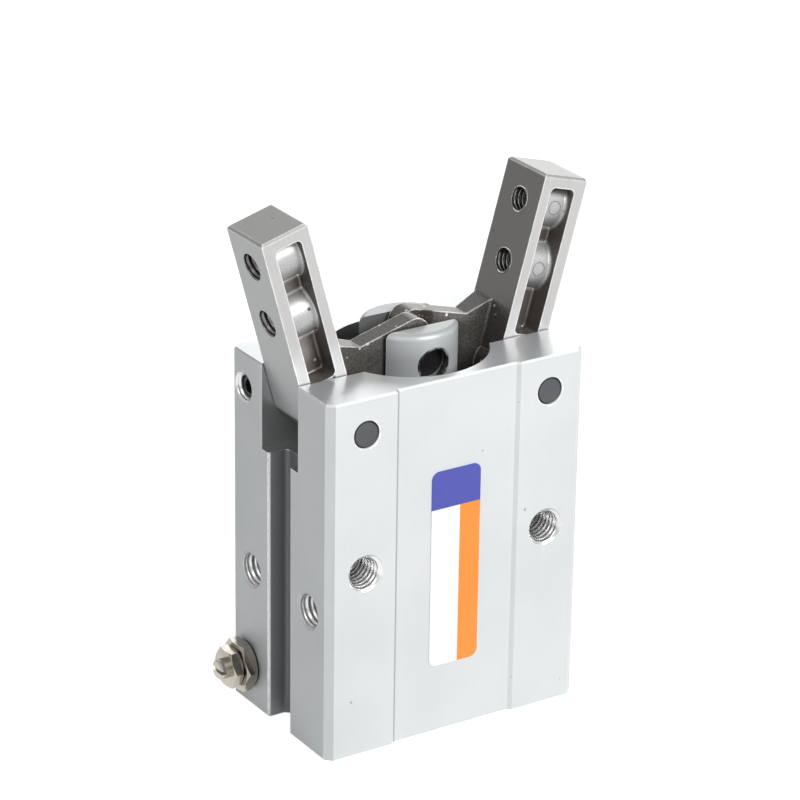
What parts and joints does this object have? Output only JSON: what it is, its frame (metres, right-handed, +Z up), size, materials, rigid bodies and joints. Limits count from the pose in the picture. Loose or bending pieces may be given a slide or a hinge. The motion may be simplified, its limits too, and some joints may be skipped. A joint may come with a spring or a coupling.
{
  "type": "pneumatic angular gripper",
  "caption": "Air-driven gripper with a rectangular aluminium body and two box-section fingers that swing on cross pins, driven by a slotted piston rod.",
  "frame": {"origin": "centre of the base face, on the axis of the bore", "axes": "+Z up along the bore, towards the fingers; X along the wide faces, from one pivot to the other; -Y out of the labelled face"},
  "size_m": [0.0528, 0.0264, 0.0772],
  "materials": {
    "anodised_body": "satin silver anodised",
    "cap_aluminium": "turned",
    "seal_rubber": "matte",
    "ring_steel": "oiled spring steel",
    "rod_seal_rubber": "matte",
    "left_finger_steel": "cast and ground steel",
    "right_finger_steel": "cast and ground steel",
    "left_pin_steel": "ground, dark end faces",
    "right_pin_steel": "ground, dark end faces",
    "left_screw_steel": "black oxide",
    "right_screw_steel": "black oxide",
    "rod_aluminium": "turned and anodised",
    "cross_pin_steel": "ground",
    "magnet": "matte",
    "head_aluminium": "turned",
    "piston_seal_rubber": "matte",
    "bolt_steel": "black oxide",
    "housing_brass": "nickel plated",
    "gasket_rubber": "matte",
    "nut_brass": "nickel plated",
    "needle_brass": "nickel plated",
    "label_film": "printed film, no lettering"
  },
  "bodies": {
    "housing": {"body": "anodised_body", "end_cap": "cap_aluminium", "cap_seal": "seal_rubber", "retaining_ring": "ring_steel", "rod_seal": "rod_seal_rubber", "left_pivot_pin": "left_pin_steel", "right_pivot_pin": "right_pin_steel", "left_set_screw": "left_screw_steel", "right_set_screw": "right_screw_steel", "needle_housing": "housing_brass", "needle_gasket": "gasket_rubber", "needle_lock_nut": "nut_brass", "throttle_needle": "needle_brass", "label": "label_film"},
    "piston": {"piston_rod": "rod_aluminium", "cross_pin": "cross_pin_steel", "piston_magnet": "magnet", "piston_head": "head_aluminium", "piston_seal": "piston_seal_rubber", "piston_bolt": "bolt_steel"},
    "left_lever": {"left_finger": "left_finger_steel"},
    "right_lever": {"right_finger": "right_finger_steel"}
  },
  "joints": [
    {"name": "piston_slide", "type": "slide", "parent": "housing", "child": "piston", "axis": [0, 0, -1], "range_m": [0, 0.00554]},
    {"name": "left_finger_pivot", "type": "hinge", "parent": "housing", "child": "left_lever", "pos_m": [-0.01505, 0, 0.04879], "axis": [0, 1, 0], "range_deg": [0, 20.5]},
    {"name": "right_finger_pivot", "type": "hinge", "parent": "housing", "child": "right_lever", "pos_m": [0.01505, 0, 0.04879], "axis": [0, -1, 0], "range_deg": [0, 20.5]}
  ],
  "couplings": [
    {"joint": "left_finger_pivot", "follows": "piston_slide", "rad_per_m": 64.5},
    {"joint": "right_finger_pivot", "follows": "piston_slide", "rad_per_m": 64.5}
  ]
}
